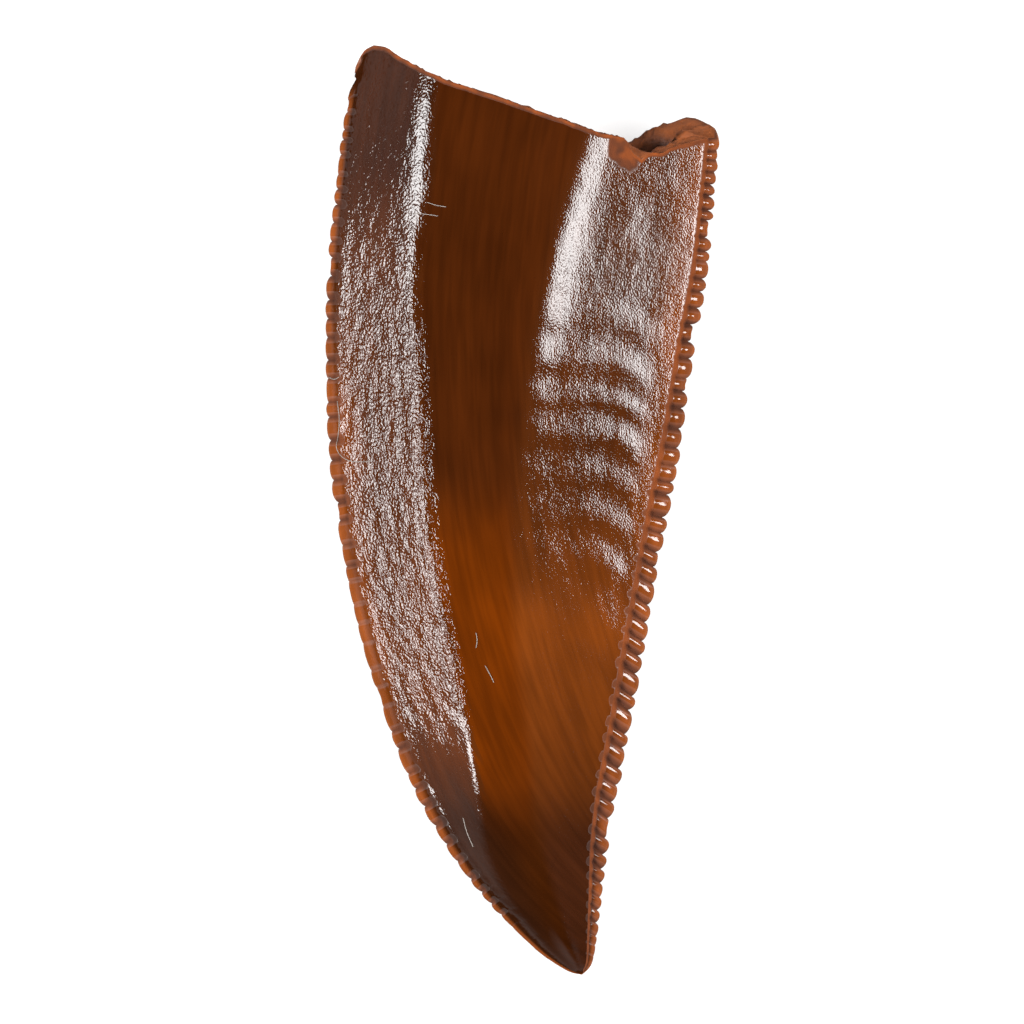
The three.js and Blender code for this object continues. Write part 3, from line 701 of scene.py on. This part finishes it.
streaks = enamel.noise(grain, STREAK_SCALE, detail=3)
blotches = enamel.noise(grain, BLOTCH_SCALE, detail=2)
ragged = fade(enamel.noise(grain, RAGGED_SCALE, detail=3), *NOISE_RANGE, -RAGGED_LINE, RAGGED_LINE)
ragged_mesial = enamel.math("ADD", past_mesial, ragged)
in_band = times(fade(ragged_mesial, *BAND_STARTS), fade(past_distal, *BAND_ENDS, 1.0, 0.0))
# Painted glow: the amber in the middle of the band stands in for light shining through the thin enamel,
# over the band's own brown.
amber_glow_reach = times(fade(along, *AMBER_STARTS), fade(along, *AMBER_ENDS, 1.0, 0.0))
middle_russet = times(fade(along, *RUSSET_STARTS), fade(across, *RUSSET_SIDE, 0.35, 1.0))
mesial_russet = times(fade(across, *MESIAL_STRIP, 1.0, 0.0), fade(along, *MESIAL_STRIP_STARTS))
russet = larger(middle_russet, larger(fade(across, *DISTAL_STRIP), mesial_russet))
russet = times(russet, fade(along, *RUSSET_ENDS, 1.0, 0.0))
old_root = times(fade(along, *OLD_ROOT_ENDS, 1.0, 0.0), fade(across, *OLD_ROOT_SIDE, 1.0, 0.0))
flank = enamel.mix(old_root, enamel.mix(russet, FLANK_BROWN, RUSSET), ROOT_BROWN)
colour = enamel.mix(in_band, flank, enamel.mix(amber_glow_reach, BAND_BROWN, AMBER_GLOW))
tip_place = enamel.math("ADD", along, fade(across, *TIP_LEAN_SIDE, TIP_LEAN, 0.0))
tip = enamel.mix(fade(across, *TIP_BROWN_SIDE), TIP_DARK, TIP_BROWN)
tip = enamel.mix(fade(across, *TIP_RUSSET_SIDE), tip, TIP_RUSSET)
colour = enamel.mix(fade(tip_place, *TIP_STARTS), colour, tip)

crumbling = enamel.noise(grain, CRUMBLE_SCALE, detail=1)
uneven_rim = enamel.math("ADD", past_rim, fade(crumbling, *NOISE_RANGE, -UNEVEN_CHIP, UNEVEN_CHIP))
chip_side = times(fade(across, *CHIP_LEFT), fade(across, *CHIP_RIGHT, 1.0, 0.0))
chipped = times(fade(uneven_rim, *CHIP_ENDS, 1.0, 0.0), chip_side)
bare = larger(chipped, fade(past_rim, *BROKEN_EDGE, 1.0, 0.0))
chip_colour = enamel.mix(fade(crumbling, *CRUMBLE_SHARE), CHIP_ORANGE, CHIP_BROWN)
colour = enamel.mix(bare, colour, chip_colour)
teeth_place = larger(fade(along, *TEETH_START), fade(across, *TEETH_SIDE))
on_teeth = times(fade(denticle, *ON_TEETH), teeth_place)
# The denticles' own orange-brown, painted lighter as a glow of light shining through the thin enamel.
colour = enamel.mix(on_teeth, colour, DENTICLE_ORANGE_AND_GLOW)
# Painted glow: the thin outer ends of the denticles are painted brighter orange, as if light shone
# through them.
colour = enamel.mix(times(on_teeth, fade(denticle, *THIN_EDGE)), colour, THIN_EDGE_GLOW)
colour = enamel.mix(fade(root, *STRIP_PLACE, 0.0, STRIP_SHARE), colour, STRIP_ORANGE)
# Painted shade: the grooves between the denticles are painted darker.
groove_shade = times(fade(groove, *GROOVE_PLACE, 0.0, GROOVE_SHARE), fade(denticle, *GROOVE_ROOT))
colour = enamel.mix(groove_shade, colour, GROOVE_SHADE)
shade = fade(streaks, *NOISE_RANGE, *STREAK_SHADE)
shade = times(shade, fade(blotches, *NOISE_RANGE, *BLOTCH_SHADE))
gray = enamel.node("ShaderNodeCombineColor", {0: shade, 1: shade, 2: shade}).outputs[0]
colour = enamel.mix(1.0, colour, gray, "MULTIPLY")

# the grain: fine grains over wider patches, each with its own height in metres
MESIAL_GRAIN, MESIAL_PATCHES = 3.3e-5, 8.0e-5
DISTAL_GRAIN, DISTAL_PATCHES = 1.1e-5, 1.6e-5
MESIAL_SCALE, DISTAL_SCALE, PATCH_SCALE = (17.0, 13.0, 1.0), (21.0, 16.0, 1.0), (3.2, 1.6, 1.0)
DISTAL_HALF, CREST_CLEAR, DISTAL_CLEAR = (0.45, 0.55), (0.02, 0.06), (-0.06, 0.0)
DENTICLE_CLEAR, ON_DENTICLES = (0.0, 0.3), 0.12
MESIAL_STARTS, MESIAL_BASE, MESIAL_ENDS, MESIAL_TIP = (0.12, 0.3), 0.3, (0.62, 0.72), 0.15
DISTAL_STARTS, DISTAL_BASE, DISTAL_ENDS, DISTAL_TIP = (0.08, 0.24), 0.75, (0.42, 0.6), 0.5


def texture_of(grains, grain_height, patch_height):
    """Fine grain and wider patches about the plain surface."""
    fine = times(enamel.math("SUBTRACT", grains, 0.5), grain_height)
    broad = times(enamel.math("SUBTRACT", patches, 0.5), patch_height)
    return enamel.math("ADD", fine, broad)


patches = enamel.noise(grain, PATCH_SCALE, detail=1.0)
mesial_grains = enamel.noise(grain, MESIAL_SCALE, detail=0.7)
distal_grains = enamel.noise(grain, DISTAL_SCALE, detail=0.7)
distal_side = fade(across, *DISTAL_HALF)
off_band = enamel.math("SUBTRACT", 1.0, fade(past_mesial, *CREST_CLEAR))
clear = larger(off_band, fade(past_distal, *DISTAL_CLEAR))
clear = times(clear, fade(denticle, *DENTICLE_CLEAR, 1.0, ON_DENTICLES))
clear = times(clear, enamel.math("SUBTRACT", 1.0, bare))
mesial_reach = fade(along, *MESIAL_STARTS, MESIAL_BASE, 1.0)
mesial_share = times(mesial_reach, fade(along, *MESIAL_ENDS, 1.0, MESIAL_TIP))
mesial_share = times(mesial_share, enamel.math("SUBTRACT", 1.0, distal_side))
distal_share = times(distal_side, fade(along, *DISTAL_ENDS, 1.0, DISTAL_TIP))
distal_share = times(distal_share, fade(along, *DISTAL_STARTS, DISTAL_BASE, 1.0))
mesial_relief = texture_of(mesial_grains, MESIAL_GRAIN, MESIAL_PATCHES)
distal_relief = texture_of(distal_grains, DISTAL_GRAIN, DISTAL_PATCHES)
texture = enamel.math("ADD", times(mesial_relief, mesial_share), times(distal_relief, distal_share))
normal = enamel.bump(times(texture, clear), 1.0)

# polish: glossy enamel, dull where it is broken, in the grooves and along the denticles' roots
MESIAL_POLISH, DISTAL_POLISH, DULL = 0.1, 0.12, 1.0
DULL_BREAK, DULL_GROOVE, DULL_ROOT = (0.05, 0.3), (0.15, 0.5), (0.25, 0.6)
roughness = fade(distal_side, 0.0, 1.0, MESIAL_POLISH, DISTAL_POLISH)
for number, place in ((bare, DULL_BREAK), (groove, DULL_GROOVE), (root, DULL_ROOT)):
    roughness = larger(roughness, fade(number, *place, 0.0, DULL))
enamel.feed(enamel.surface.inputs["Base Color"], colour)
enamel.feed(enamel.surface.inputs["Normal"], normal)
enamel.feed(enamel.surface.inputs["Roughness"], roughness)
enamel.surface.inputs["IOR"].default_value = 1.6

FRESH_BREAK, CAVITY_SHADE = (0.28, 0.072, 0.016, 1), (0.05, 0.014, 0.004, 1)
CRUMB_BROWN, CRUMB_SHARE = (0.2, 0.06, 0.02, 1), 0.5
DENTINE_SCALE, DENTINE_RELIEF, MOUTH = (4000.0, 4000.0, 4000.0), 5.0e-5, (0.0, 0.12)
dentine = Shader("broken_dentine")
depth = dentine.number("depth")
spot = dentine.node("ShaderNodeTexCoord").outputs["Object"]
crumbs = dentine.noise(spot, DENTINE_SCALE, detail=4, roughness=0.6)
# Painted shade: the pulp cavity is painted dark brown a short way in from its mouth.
colour = dentine.mix(dentine.fade(depth, *MOUTH), FRESH_BREAK, CAVITY_SHADE)
crumb_place = dentine.fade(crumbs, *CRUMBLE_SHARE, 0.0, CRUMB_SHARE)
colour = dentine.mix(crumb_place, colour, CRUMB_BROWN)
dentine.feed(dentine.surface.inputs["Base Color"], colour)
dentine.feed(dentine.surface.inputs["Normal"], dentine.bump(crumbs, DENTINE_RELIEF))
dentine.surface.inputs["Roughness"].default_value = 0.5

mesh.materials.append(enamel.material)
mesh.materials.append(dentine.material)
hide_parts("tooth")
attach(crown, "root")


# ---------------------------------------------------------------- lint
# Stray textile fibres caught on the enamel and in the saw edge. Each is a fine pale hair, hardly bent,
# that lies loose on the crown.
FIBRE_RADIUS, FIBRE_SIDES, STEPS_A_PIECE = 0.011, 6, 4
ABOVE_CROWN, CARINA_LEVEL = 20, 1.9
FIBRES = [
    [(-2.82, 9.11), (-2.56, 9.02), (-2.26, 8.97)],
    [(-3.24, 8.79), (-2.91, 8.76), (-2.5, 8.7)],
    [(-5.82, 3.96), (-5.64, 3.9), (-5.49, 3.96)],
    [
        (-5.55, 3.24), (-5.49, 2.73), (-5.52, 2.22), (-5.58, 1.86), (-5.43, 1.59), (-5.16, 1.44),
        (-4.8, 1.41), (-4.47, 1.44),
    ],
    [(-1.37, -3.69), (-1.34, -3.92), (-1.37, -4.13)],
    [(-1.1, -4.67), (-0.96, -4.93), (-0.84, -5.17)],
    [(-1.77, -9.28), (-1.65, -9.73), (-1.47, -10.15)],
]
on_crown = (points - cad_middle) / MM + plan_middle
surface = BVHTree.FromPolygons(on_crown.tolist(), mesh_faces)
tube_points, tube_faces = [], []
for bends in FIBRES:
    count = (len(bends) - 1) * STEPS_A_PIECE + 1
    line = Spline(bends).at(np.linspace(0, 1, count))
    plan = np.stack(line, -1)
    middle = np.zeros((count, 3))
    for index, (x, y) in enumerate(plan):
        hit = surface.ray_cast(Vector((x, y, ABOVE_CROWN)), Vector((0, 0, -1)))[0]
        middle[index] = x, y, (hit.z if hit else CARINA_LEVEL) + FIBRE_RADIUS
    along_line = np.gradient(middle, axis=0)
    along_line /= np.linalg.norm(along_line, axis=1)[:, None]
    sideways = np.cross(along_line, [0, 0, 1])
    sideways /= np.linalg.norm(sideways, axis=1)[:, None]
    upwards = np.cross(sideways, along_line)
    first = len(tube_points)
    for turn in range(FIBRE_SIDES):
        angle = 2 * np.pi * turn / FIBRE_SIDES
        ring_line = middle + FIBRE_RADIUS * (np.cos(angle) * sideways + np.sin(angle) * upwards)
        tube_points += ring_line.tolist()
        a, b = first + turn * count, first + (turn + 1) % FIBRE_SIDES * count
        tube_faces += [(a + i, a + i + 1, b + i + 1, b + i) for i in range(count - 1)]
    tube_faces.append([first + turn * count for turn in range(FIBRE_SIDES)])
    tube_faces.append([first + turn * count + count - 1 for turn in reversed(range(FIBRE_SIDES))])
lint_points = (np.array(tube_points) - plan_middle) * MM + cad_middle
lint_mesh = bpy.data.meshes.new("lint")
lint_mesh.from_pydata(lint_points.tolist(), [], tube_faces)
lint = bpy.data.objects.new("lint", lint_mesh)
bpy.context.collection.objects.link(lint)
fibre = Shader("lint_fibre")
fibre.surface.inputs["Base Color"].default_value = (0.34, 0.3, 0.27, 1)
fibre.surface.inputs["Roughness"].default_value = 0.7
lint_mesh.materials.append(fibre.material)
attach(lint, "root")


# ---------------------------------------------------------------- ground
# A sheet of matt white board, wide enough to fill every view. The crown lies on it, and the board
# glows a little of its own, so that it looks evenly lit.
GROUND_SIZE, BELOW_CROWN, BOARD_GLOW = 1.2, 0.00002, 0.68
ground_mesh = bpy.data.meshes.new("white_board")
h = GROUND_SIZE / 2
ground_mesh.from_pydata([(-h, -h, 0), (h, -h, 0), (h, h, 0), (-h, h, 0)], [], [(0, 1, 2, 3)])
ground = bpy.data.objects.new("white_board", ground_mesh)
ground.location.z = -BELOW_CROWN
bpy.context.collection.objects.link(ground)
board = Shader("white_board")
board.surface.inputs["Base Color"].default_value = (0.45, 0.45, 0.45, 1)
board.surface.inputs["Roughness"].default_value = 0.9
board.surface.inputs["Specular IOR Level"].default_value = 0.1
board.surface.inputs["Emission Color"].default_value = (1, 1, 1, 1)
board.surface.inputs["Emission Strength"].default_value = BOARD_GLOW
ground_mesh.materials.append(board.material)
ground.visible_glossy = False


# ---------------------------------------------------------------- light
# Two long softboxes, one beyond each cutting edge, and a dark ceiling, so that the flanks shine and
# the crest between them stays dark.
def softbox(name, azimuth, tilt, length):
    """A light some way off, tilt degrees from straight above, facing the crown."""
    light = bpy.data.lights.new(name, "AREA")
    light.shape = "RECTANGLE"
    light.size, light.size_y = length, SOFTBOX_WIDTH
    light.energy = SOFTBOX_RADIANCE * np.pi * length * SOFTBOX_WIDTH
    lamp = bpy.data.objects.new(name, light)
    a, e = np.radians(azimuth), np.radians(tilt)
    away = Vector((np.sin(e) * np.cos(a), np.sin(e) * np.sin(a), np.cos(e)))
    lamp.location = away * SOFTBOX_REACH
    lamp.rotation_euler = away.to_track_quat("Z", "Y").to_euler()
    bpy.context.collection.objects.link(lamp)
    return lamp


SOFTBOX_REACH, SOFTBOX_WIDTH, SOFTBOX_RADIANCE = 0.35, 0.124, 16
softbox("mesial_softbox", azimuth=193, tilt=52, length=0.27)
softbox("distal_softbox", azimuth=8, tilt=41, length=0.22)

world = bpy.data.worlds.new("studio")
world.use_nodes = True
sky_nodes, sky_links = world.node_tree.nodes, world.node_tree.links
direction = sky_nodes.new("ShaderNodeTexCoord").outputs["Generated"]
height = sky_nodes.new("ShaderNodeSeparateXYZ")
sky_links.new(direction, height.inputs[0])
glow = sky_nodes.new("ShaderNodeValToRGB")
SKY = [(0.0, 0.0), (0.49, 0.0), (0.52, 0.45), (0.6, 0.32), (0.75, 0.015), (1.0, 0.015)]
while len(glow.color_ramp.elements) < len(SKY):
    glow.color_ramp.elements.new(0.5)
for element, (place, level) in zip(glow.color_ramp.elements, SKY):
    element.position = place
    element.color = (level, level, level, 1)
half_up = sky_nodes.new("ShaderNodeMath")
half_up.operation = "MULTIPLY_ADD"
half_up.inputs[1].default_value = half_up.inputs[2].default_value = 0.5
sky_links.new(height.outputs["Z"], half_up.inputs[0])
sky_links.new(half_up.outputs[0], glow.inputs[0])
sky_links.new(glow.outputs["Color"], sky_nodes["Background"].inputs["Color"])
bpy.context.scene.world = world
bpy.context.scene.view_settings.view_transform = "Standard"


# ---------------------------------------------------------------- camera
# A long lens straight above the crown, aimed at the height of its cutting edges, with the broken base
# at the top of the view.
VIEW_WIDTH = 30.72 * MM
LENS, SENSOR, NEAREST = 180.0, 36.0, 0.01
AIM = (np.array([-0.3, -0.09, CARINA_LEVEL]) - plan_middle) * MM + cad_middle
camera_data = bpy.data.cameras.new("camera")
camera_data.lens, camera_data.sensor_width = LENS, SENSOR
camera_data.clip_start = NEAREST
camera = bpy.data.objects.new("camera", camera_data)
camera.location = AIM + [0, 0, VIEW_WIDTH * LENS / SENSOR]
bpy.context.collection.objects.link(camera)
bpy.context.scene.camera = camera
